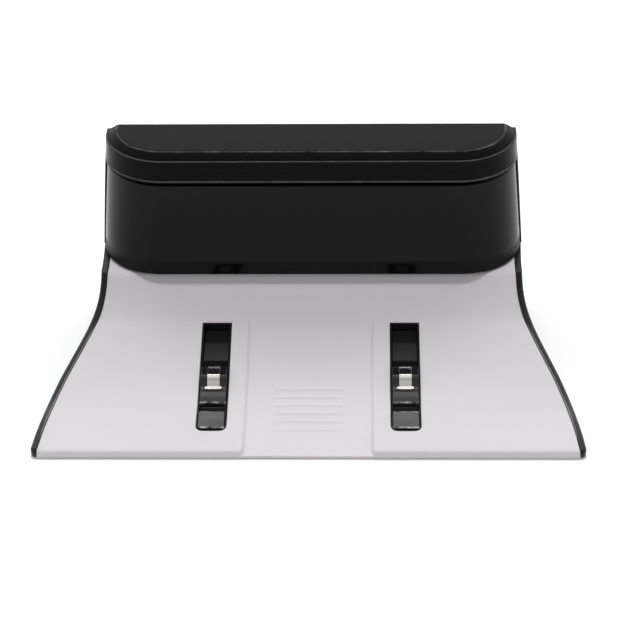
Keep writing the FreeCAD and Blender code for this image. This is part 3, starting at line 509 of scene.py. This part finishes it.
cap = {"groove": 1.4, "grooveInset": 1.8, "lipInset": 0.2, "faceInset": 1.0, "lipHigh": 0.8, "lipRound": 0.5,
       "sideLip": -0.8, "sideFace": -0.7, "rimRound": 0.4, "rimWidth": 1.2, "rimInner": 0.25, "seat": 1.75,
       "inner": 9.0, "gap": 0.02, "chamfer": 0.15, "fillet": 0.2, "faceLow": 3.0, "faceHigh": 2.0,
       "sideGroove": 0.6, "lipHighlight": 1.0, "rimHighlight": 0.6}


def topCap():
    # profile from the underside out over the groove, the rounded lip, the plain face and the rounded rim to the seat
    c = cap
    low = head["high"] + c["gap"]
    band = head["high"] + c["groove"]
    ledge = band + c["lipHigh"]
    lip = quarter((c["lipInset"] + c["lipRound"], ledge - c["lipRound"]), c["lipRound"], 180, 90, 9)
    face, rim, within = c["faceInset"], head["rim"], c["faceInset"] + c["rimWidth"]
    front = np.concatenate([[(c["inner"], low), (c["grooveInset"], low), (c["grooveInset"], band),
                             (c["lipInset"] + c["chamfer"], band), (c["lipInset"], band + c["chamfer"])], lip,
                            quarter((face - c["fillet"], ledge + c["fillet"]), c["fillet"], -90, 0, 5),
                            [(face, ledge + c["faceLow"]), (face, rim - c["faceHigh"])],
                            quarter((face + c["rimRound"], rim - c["rimRound"]), c["rimRound"], 180, 90),
                            quarter((within - c["rimInner"], rim - c["rimInner"]), c["rimInner"], 90, 0, 5),
                            [(within, rim - c["seat"])]])
    inset, z = front.T
    share = np.clip((inset - c["lipInset"]) / (c["faceInset"] - c["lipInset"]), 0, 1)
    side = c["sideLip"] + share * (c["sideFace"] - c["sideLip"]) + np.maximum(inset - c["faceInset"], 0)
    grooved = z <= band
    hollow = c["sideLip"] + c["sideGroove"] + np.maximum(inset - 2, 0) * 0.5
    side = np.where(grooved & (inset > c["lipInset"] + 0.5), hollow, side)
    back = np.where(grooved, np.maximum(inset - 2, 0), np.maximum(inset - c["faceInset"], 0))
    # painted highlights: a light line along the lip and a fainter one along the rim
    onLip = (z > band) & (z <= ledge + 0.01) & (inset < c["faceInset"] - 0.3)
    onRim = (z > head["rim"] - 0.7 * c["rimRound"]) & (inset < c["faceInset"] + c["rimWidth"] - 0.1)
    highlightAndHaze = np.where(onLip, c["lipHighlight"], np.where(onRim, c["rimHighlight"], 0.0))
    ringPiece("top_cap_shell", np.stack([side, inset, back, z], -1), "dock", "cap_black", ["top_cap"], highlightAndHaze)


inlay = {"sideEdge": 0.55, "frontEdge": 2.35, "backEdge": 1.35, "bevelWidth": 3.8, "bevelDrop": 2.35,
         "crestRound": 3.5, "footRound": 0.25, "seat": 90.42, "plateau": 6.0, "backFrom": 1.5, "backShare": 0.2,
         "highlightShift": 0.1, "highlightReach": 0.35}


def topInlay():
    # profile up the seat, over a small rounded foot, up the bevel and round onto the flat plateau
    c = inlay
    slope = math.atan2(c["bevelDrop"], c["bevelWidth"])
    low = head["top"] - c["bevelDrop"]
    reach = c["crestRound"] * math.tan(slope / 2)
    crest = quarter((c["bevelWidth"] + reach, head["top"] - c["crestRound"]), c["crestRound"],
                    90 + math.degrees(slope), 90, 13)
    shape = np.concatenate([[(0, c["seat"]), (0, low - c["footRound"]), (0.06, low - 0.06), (0.3, low + 0.17)],
                            crest, [(c["bevelWidth"] + c["plateau"], head["top"])]])
    inset, z = shape.T
    back = c["backEdge"] + np.maximum(inset - c["bevelWidth"] - c["backFrom"], 0) * c["backShare"]
    # painted highlight along the bevel's crest, broken into dashes by the finish
    highlightAndHaze = np.exp(-((inset - c["bevelWidth"] + c["highlightShift"]) / c["highlightReach"]) ** 2)
    ringPiece("top_inlay_plate", np.stack([c["sideEdge"] + inset, c["frontEdge"] + inset, back, z], -1), "dock",
              "inlay_gloss", ["top_inlay"], highlightAndHaze)


window = {"thickness": 2.2, "edgeRound": 0.4, "footLean": 0.02, "bowFrom": 38.5, "bowTo": 47.0, "hazeFrom": 62.0,
          "hazeReach": 14.0, "hazeHigh": 9.0, "hazeFall": 5.0}


def irWindow():
    # closed profile carried round the front of the head: the outer face is upright at its foot and leans back above
    c = window
    z = np.linspace(head["low"], head["high"], 61)
    share = ease((z - c["bowFrom"]) / (c["bowTo"] - c["bowFrom"]))
    lean = c["footLean"] + (head["frontLean"] - c["footLean"]) * share
    steps = np.concatenate([[0], np.cumsum((lean[1:] + lean[:-1]) / 2 * np.diff(z))])
    straight = head["frontLean"] * (z - head["low"])
    bow = steps - straight
    bow = bow - bow[-1] * np.clip((z - c["bowTo"]) / (head["high"] - c["bowTo"]), 0, 1)
    r = c["edgeRound"]
    foot = quarter((r, head["low"] + r), r, 270, 180)
    crown = quarter((r, head["high"] - r), r, 180, 90)
    face = np.stack([bow, z], -1)[(z > head["low"] + r) & (z < head["high"] - r)]
    foot[:, 0] += bow[0]
    outer = np.concatenate([foot, face, crown])
    inner = np.array([(c["thickness"], head["high"]), (c["thickness"], head["low"])])
    profile = np.concatenate([outer, inner])
    rings = headRings(np.maximum(profile[:, 0], 0), profile[:, 0], dock["depth"] - head["split"], profile[:, 1])
    rows, cols = rings.shape[:2]
    quads = ringFaces(rows, cols, True, False)
    ends = [np.arange(rows) * cols, (np.arange(rows) * cols + cols - 1)[::-1]]
    points = rings.reshape(-1, 3)
    haze = ease((np.abs(points[:, 0]) - c["hazeFrom"]) / c["hazeReach"])  # dulled lower corners
    haze *= ease((head["low"] + c["hazeHigh"] - points[:, 2]) / c["hazeFall"])
    addPiece("ir_window_lens", points, quads, "dock", "window_gloss", ["ir_window"], ends, highlightAndHaze=haze)


topCap()
topInlay()
irWindow()
print("cap, inlay and window made")


def roundedLine(corners, closed):
    # corner points with a radius each become straight runs joined by arcs
    corners = np.array(corners, float)
    at, radius = corners[:, :2], corners[:, 2]
    into = at - np.roll(at, 1, 0)
    out = np.roll(at, -1, 0) - at
    into /= np.linalg.norm(into, axis=1)[:, None]
    out /= np.linalg.norm(out, axis=1)[:, None]
    turn = np.arctan2(into[:, 0] * out[:, 1] - into[:, 1] * out[:, 0], (into * out).sum(1))
    if not closed:
        turn[[0, -1]] = 0
    reach = radius * np.abs(np.tan(turn / 2))
    share = np.linspace(0, 1, 9)
    side = np.stack([-into[:, 1], into[:, 0]], -1) * np.sign(turn)[:, None]
    centre = at - into * reach[:, None] + side * radius[:, None]
    angle = share[None, :] * turn[:, None]
    spoke = -side * radius[:, None]
    x = centre[:, :1] + spoke[:, :1] * np.cos(angle) - spoke[:, 1:] * np.sin(angle)
    y = centre[:, 1:] + spoke[:, :1] * np.sin(angle) + spoke[:, 1:] * np.cos(angle)
    line = np.stack([x, y], -1)
    if not closed:
        line[0], line[-1] = at[0], at[-1]
    line = line.reshape(-1, 2)
    gap = np.linalg.norm(line - np.roll(line, 1, 0), axis=1)
    return line[gap > 1e-4]


def outward(line):
    # unit normals of a closed line that runs anticlockwise
    along = np.roll(line, -1, 0) - np.roll(line, 1, 0)
    along /= np.linalg.norm(along, axis=1)[:, None]
    return np.stack([along[:, 1], -along[:, 0]], -1)


def finer(line, step):
    # a closed line with points added at even steps along it, its own points kept
    ends = np.concatenate([line, line[:1]])
    along = np.concatenate([[0], np.cumsum(np.linalg.norm(np.diff(ends, axis=0), axis=1))])
    extra = np.arange(step, along[-1], step)
    near = np.abs(extra[:, None] - along[None, :]).min(1)
    where = np.sort(np.concatenate([along[:-1], extra[near > 0.4 * step]]))
    return np.stack([np.interp(where, along, ends[:, k]) for k in range(2)], -1)


def boredEnd(outline, hole, centre, reach):
    # a flat end round a hole, as two polygons that meet on a line ahead of the hole and a line below it: each runs
    # along the outline and back along the hole; hole points start ahead and go round by way of the bottom
    ahead, below = [int(np.argmin(np.sum((outline - centre - way) ** 2, 1))) for way in reach]
    count, sides = len(outline), len(hole)
    turned = (ahead + np.arange(count + 1)) % count
    cut, quarterTurn = (below - ahead) % count, sides // 4
    ring = count + np.arange(sides + 1) % sides
    return [np.concatenate([turned[:cut + 1], ring[:quarterTurn + 1][::-1]]),
            np.concatenate([turned[cut:], ring[quarterTurn:][::-1]])]


carried = {"step": 0.3, "edgeSteps": 5, "glintSpread": 0.12}


def acrossPiece(name, line, middle, width, edge, body, slot, replaced, paintedGlints=(), bore=None):
    # a closed side view carried across the width, drawn in by a rounded edge at both ends and closed flat; a bore
    # is a straight round hole from end to end
    area = 0.5 * np.sum(line[:, 0] * np.roll(line[:, 1], -1) - line[:, 1] * np.roll(line[:, 0], -1))
    line = finer(line if area > 0 else line[::-1], carried["step"])
    t = np.radians(np.linspace(0, 90, carried["edgeSteps"]))
    inset = np.concatenate([edge * (1 - np.sin(t)), edge * (1 - np.sin(t[::-1]))])
    x = np.concatenate([-width / 2 + edge * (1 - np.cos(t)), width / 2 - edge * (1 - np.cos(t[::-1]))])
    flat = line[None] - outward(line)[None] * inset[:, None, None]
    across = np.broadcast_to(x[:, None, None], flat.shape[:2] + (1,))
    points = np.concatenate([middle + across, flat], -1)
    rows, cols = flat.shape[:2]
    points, quads = points.reshape(-1, 3), ringFaces(rows, cols)
    # painted glints: a mark that fades with distance from given points of the side view, at the lever's step edges
    near = [np.exp(-np.sum((line - place) ** 2, 1) / carried["glintSpread"]) for place in paintedGlints]
    highlightAndHaze = np.tile(sum(near, np.zeros(cols)), rows)
    lids = [np.arange(cols)[::-1], (rows - 1) * cols + np.arange(cols)]
    if bore:
        centre, sides = np.array(bore["centre"]), bore["sides"]
        angle = np.pi + 2 * np.pi * np.arange(sides) / sides
        hole = centre + bore["radius"] * np.stack([np.cos(angle), np.sin(angle)], -1)
        ends = [np.column_stack([np.full(sides, middle + end), hole]) for end in (x[0], x[-1])]
        lids = []
        for row, first, step in ((0, rows * cols, -1), (rows - 1, rows * cols + sides, 1)):
            index = np.concatenate([row * cols + np.arange(cols), first + np.arange(sides)])
            lids += [index[part][::step] for part in boredEnd(flat[row], hole, centre, bore["reach"])]
        quads = np.concatenate([quads, ringFaces(2, sides)[:, ::-1] + rows * cols])
        points = np.concatenate([points] + ends)
        highlightAndHaze = np.concatenate([highlightAndHaze, np.zeros(2 * sides)])
    return addPiece(name, points, quads, body, slot, replaced, lids, highlightAndHaze=highlightAndHaze)


lever = {"pivot": (19.4, 3.2), "at": 42.7, "width": 11.4, "edge": 0.25, "stripWidth": 5.5, "strip": 0.4,
         "stripGap": 0.02, "stripEdge": 0.12,
         "side": ((-3.7, -0.8, 0.5), (-3.6, 2.1, 0.5), (1.4, 3.15, 25.0), (6.0, 3.9, 0.5), (6.8, 2.0, 0.4),
                  (10.9, 2.1, 0.5), (11.5, 4.7, 0.5), (14.3, 5.55, 18.0), (17.6, 6.35, 0.3), (17.9, 6.9, 0.2),
                  (19.9, 7.4, 0.6), (22.3, 11.1, 3.2), (29.8, 10.9, 0.8), (31.8, 9.5, 1.2), (36.0, 9.7, 6.0),
                  (46.6, 12.6, 10.0), (54.6, 14.3, 2.0), (60.1, 14.55, 0.8), (60.4, 12.2, 0.8), (44.6, 7.6, 3.0),
                  (31.6, 7.6, 2.0), (26.6, 5.2, 3.0), (11.6, 1.4, 2.0), (5.2, -1.5, 1.0), (-2.8, -1.6, 0.6)),
         "contact": ((18.0, 6.93, 0.1), (19.85, 7.4, 0.7), (22.3, 11.1, 3.2), (28.4, 10.93, 0.5),
                     (29.3, 11.09, 0.35), (29.9, 10.75, 0.5), (31.3, 7.2, 0.8), (42.6, 7.2, 0.1)),
         "bore": {"radius": 0.8, "sides": 32, "reach": ((-3.6, 0.0), (0.0, -1.6))},
         "ears": ((18.2, 6.98, 0.1), (19.4, 7.28, 0.1)), "earWidth": 7.4,
         # side-view points at the lever's step edges that get painted glints
         "paintedGlints": ((11.45, 4.6), (6.0, 3.8), (-3.5, 2.0))}


def contactLevers():
    # lever: its side view carried across the slot; contact: a thin strip along the nose, with a wider foot
    c = lever
    for side, sign in (("left", -1), ("right", 1)):
        middle = sign * c["at"]
        body = side + "_lever"
        outline = roundedLine(c["side"], True) + np.array(c["pivot"])
        acrossPiece(side + "_lever_arm", outline, middle, c["width"], c["edge"], body, "lever_black",
                    [side + "_contact_lever"], np.array(c["paintedGlints"]) + np.array(c["pivot"]),
                    {"centre": c["pivot"], **c["bore"]})
        for name, path, width in (("_contact_plate", c["contact"], c["stripWidth"]),
                                  ("_contact_foot", c["ears"], c["earWidth"])):
            line = roundedLine(path, False) + np.array(c["pivot"])
            along = np.gradient(line, axis=0)
            along /= np.linalg.norm(along, axis=1)[:, None]
            normal = np.stack([-along[:, 1], along[:, 0]], -1)
            outer = line + (c["strip"] + c["stripGap"]) * normal
            band = np.concatenate([line + c["stripGap"] * normal, outer[::-1]])
            acrossPiece(side + name, band, middle, width, c["stripEdge"], body, "contact_nickel",
                        [side + "_contact_strip"] if name == "_contact_plate" else ())


spring = {"wire": 0.5, "radius": 2.2, "turns": 5.5, "perTurn": 30, "endRise": 0.55, "sides": 10, "reach": 37.6,
          "swing": 7.0, "slack": 0.55}


def leverSprings():
    # round wire carried along a helix that lies flat for its first and last turn
    c = spring
    for side in ("left", "right"):
        low, high = [np.array(corner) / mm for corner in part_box(side + "_lever_spring")]
        middle = (low + high) / 2
        turn = np.linspace(0, c["turns"], int(c["turns"] * c["perTurn"]) + 1)
        height = high[2] - low[2] - c["wire"]
        first = c["endRise"] * c["wire"]
        rise = np.interp(turn, [0, 1, c["turns"] - 1, c["turns"]], [0, first, height - first, height])
        angle = 2 * np.pi * turn
        away = np.stack([np.cos(angle), np.sin(angle), 0 * angle], -1)
        start = np.array([middle[0], middle[1], low[2] + c["wire"] / 2])
        line = start + away * c["radius"] + rise[:, None] * [0, 0, 1]
        along = np.gradient(line, axis=0)
        along /= np.linalg.norm(along, axis=1)[:, None]
        third = np.cross(along, away)
        around = np.linspace(0, 2 * np.pi, c["sides"], endpoint=False)[None, :, None]
        tube = line[:, None] + c["wire"] / 2 * (np.cos(around) * away[:, None] + np.sin(around) * third[:, None])
        points = tube.reshape(-1, 3) + [0, dock["depth"] / 2, 0]
        rows, cols = tube.shape[:2]
        ends = [np.arange(cols)[::-1], (rows - 1) * cols + np.arange(cols)]
        piece = addPiece(side + "_spring_coil", points, ringFaces(rows, cols), "dock", "spring_steel",
                         [side + "_lever_spring"], ends)
        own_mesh(piece)


contactLevers()
leverSprings()
print("levers, contacts and springs made")


# camera at the photograph's height, looking down at the front
view = {"place": (0.025, -0.7502, 0.5266), "pitch": 33.55, "turn": 1.566, "roll": -0.89, "lens": 112.5,
        "sensor": 36.0}
camera = bpy.data.objects.new("camera", bpy.data.cameras.new("camera"))
camera.data.lens = view["lens"]
camera.data.sensor_width = view["sensor"]
camera.location = view["place"]
pitch, turn, roll = [math.radians(view[key]) for key in ("pitch", "turn", "roll")]
camera.rotation_euler = (Matrix.Rotation(turn, 3, "Z") @ Matrix.Rotation(math.pi / 2 - pitch, 3, "X")
                         @ Matrix.Rotation(roll, 3, "Z")).to_euler()
bpy.context.scene.collection.objects.link(camera)
bpy.context.scene.camera = camera

stage = {"size": 6.0, "glow": 0.14, "paint": 1.0, "bounce": 0.9, "near": 0.2, "far": 0.55}


def paleFloor():
    # one flat square at floor height; camera and mirror rays see a glow that grows away from the dock plus the
    # shaded paint, so a soft shadow stays round the dock and the rest is white
    mesh = bpy.data.meshes.new("floor")
    half = stage["size"] / 2
    mesh.from_pydata([(-half, -half, 0), (half, -half, 0), (half, half, 0), (-half, half, 0)], [], [(0, 1, 2, 3)])
    floor = bpy.data.objects.new("floor", mesh)
    bpy.context.scene.collection.objects.link(floor)
    material, tree, shader = newMaterial("pale_floor")
    tree.nodes.remove(shader)
    path = tree.nodes.new("ShaderNodeLightPath")
    paint = tree.nodes.new("ShaderNodeBsdfDiffuse")
    paint.inputs["Color"].default_value = (stage["bounce"],) * 3 + (1,)
    thin = tree.nodes.new("ShaderNodeBsdfDiffuse")
    thin.inputs["Color"].default_value = (stage["paint"],) * 3 + (1,)
    glow = tree.nodes.new("ShaderNodeEmission")
    where = tree.nodes.new("ShaderNodeTexCoord")
    away = tree.nodes.new("ShaderNodeVectorMath")
    away.operation = "LENGTH"
    tree.links.new(where.outputs["Object"], away.inputs[0])
    grow = tree.nodes.new("ShaderNodeMapRange")
    grow.inputs["From Min"].default_value = stage["near"]
    grow.inputs["From Max"].default_value = stage["far"]
    grow.inputs["To Min"].default_value = stage["glow"]
    grow.inputs["To Max"].default_value = 1.0
    tree.links.new(away.outputs["Value"], grow.inputs["Value"])
    tree.links.new(grow.outputs["Result"], glow.inputs["Strength"])
    both = tree.nodes.new("ShaderNodeAddShader")
    tree.links.new(thin.outputs[0], both.inputs[0])
    tree.links.new(glow.outputs[0], both.inputs[1])
    seen = tree.nodes.new("ShaderNodeMath")
    seen.operation = "MAXIMUM"
    tree.links.new(path.outputs["Is Camera Ray"], seen.inputs[0])
    tree.links.new(path.outputs["Is Glossy Ray"], seen.inputs[1])
    pick = tree.nodes.new("ShaderNodeMixShader")
    tree.links.new(seen.outputs[0], pick.inputs[0])
    tree.links.new(paint.outputs[0], pick.inputs[1])
    tree.links.new(both.outputs[0], pick.inputs[2])
    tree.links.new(pick.outputs[0], tree.nodes["Material Output"].inputs["Surface"])
    mesh.materials.append(material)


surround = {"fill": 0.17, "zenith": 0.85, "from": 0.55, "to": 0.9, "ahead": 0.45, "aheadFrom": -0.75, "aheadTo": 0.0}


def whiteSurround():
    # white to the camera; reflections see it a little greyer overhead and greyer still ahead of the dock, and a
    # steady fill lights everything else
    world = bpy.data.worlds.new("surround")
    bpy.context.scene.world = world
    world.use_nodes = True
    tree = world.node_tree
    path = tree.nodes.new("ShaderNodeLightPath")
    where = tree.nodes.new("ShaderNodeTexCoord")
    split = tree.nodes.new("ShaderNodeSeparateXYZ")
    tree.links.new(where.outputs["Generated"], split.inputs[0])
    sky = tree.nodes.new("ShaderNodeMapRange")
    sky.interpolation_type = "SMOOTHSTEP"
    sky.inputs["From Min"].default_value = surround["from"]
    sky.inputs["From Max"].default_value = surround["to"]
    sky.inputs["To Min"].default_value = 1.0
    sky.inputs["To Max"].default_value = surround["zenith"]
    tree.links.new(split.outputs["Z"], sky.inputs["Value"])
    ahead = tree.nodes.new("ShaderNodeMapRange")
    ahead.interpolation_type = "SMOOTHSTEP"
    ahead.inputs["From Min"].default_value = surround["aheadFrom"]
    ahead.inputs["From Max"].default_value = surround["aheadTo"]
    ahead.inputs["To Min"].default_value = surround["ahead"]
    ahead.inputs["To Max"].default_value = 1.0
    tree.links.new(split.outputs["Y"], ahead.inputs["Value"])
    dimmed = tree.nodes.new("ShaderNodeMath")
    dimmed.operation = "MULTIPLY"
    tree.links.new(sky.outputs["Result"], dimmed.inputs[0])
    tree.links.new(ahead.outputs["Result"], dimmed.inputs[1])
    first = tree.nodes.new("ShaderNodeMath")
    first.operation = "MAXIMUM"
    tree.links.new(path.outputs["Is Glossy Ray"], first.inputs[0])
    tree.links.new(path.outputs["Is Transmission Ray"], first.inputs[1])
    mirrored = tree.nodes.new("ShaderNodeMix")
    mirrored.inputs[2].default_value = surround["fill"]
    tree.links.new(first.outputs[0], mirrored.inputs[0])
    tree.links.new(dimmed.outputs[0], mirrored.inputs[3])
    seen = tree.nodes.new("ShaderNodeMath")
    seen.operation = "MAXIMUM"
    tree.links.new(path.outputs["Is Camera Ray"], seen.inputs[0])
    tree.links.new(mirrored.outputs[0], seen.inputs[1])
    tree.links.new(seen.outputs[0], tree.nodes["Background"].inputs["Strength"])
    tree.nodes["Background"].inputs["Color"].default_value = (1, 1, 1, 1)


def softLamp(name, place, aim, size, power, mirrored):
    # a flat lamp at its place, turned to face its aim
    lamp = bpy.data.lights.new(name, "AREA")
    lamp.shape = "RECTANGLE"
    lamp.size, lamp.size_y = size
    lamp.energy = power
    holder = bpy.data.objects.new(name, lamp)
    holder.location = place
    holder.visible_camera = False
    holder.visible_glossy = mirrored  # a lamp that isn't mirrored only shades, and leaves no hard spot
    direction = np.array(aim) - np.array(place)
    flat = math.hypot(direction[0], direction[1])
    holder.rotation_euler = (math.atan2(flat, -direction[2]), 0, math.atan2(direction[0], -direction[1]) + math.pi)
    bpy.context.scene.collection.objects.link(holder)


lamps = {
    "overhead": {"place": (0, 0.175, 1.6), "aim": (0, 0.03, 0), "size": (0.07, 0.07), "power": 10.6, "mirrored": False},
    "topSoftbox": {"place": (0, 0.64, 1.5), "aim": (0, 0, 0), "size": (1.6, 0.4), "power": 5.4, "mirrored": False},
    "backStrip": {"place": (0, 0.95, 1.5), "aim": (0, 0, 0), "size": (2.4, 0.2), "power": 6.0, "mirrored": True},
    "leftSoftbox": {"place": (-1.35, 0.63, 0.86), "aim": (0, 0, 0), "size": (0.7, 0.8), "power": 3.6,
                    "mirrored": False},
    "rightSoftbox": {"place": (1.35, 0.63, 0.86), "aim": (0, 0, 0), "size": (0.7, 0.8), "power": 3.6,
                     "mirrored": False},
    "frontSoftbox": {"place": (0, -1.9, 0.75), "aim": (0, 0, 0), "size": (2.4, 0.9), "power": 0.9, "mirrored": True},
    "frontCard": {"place": (0, -0.28, 0.07), "aim": (0, -0.065, 0.01), "size": (0.7, 0.08), "power": 0.19,
                  "mirrored": False},
}
paleFloor()
whiteSurround()
for name, lamp in lamps.items():
    softLamp(name, **lamp)
bpy.context.scene.view_settings.view_transform = "Standard"
print("stage and lamps set")
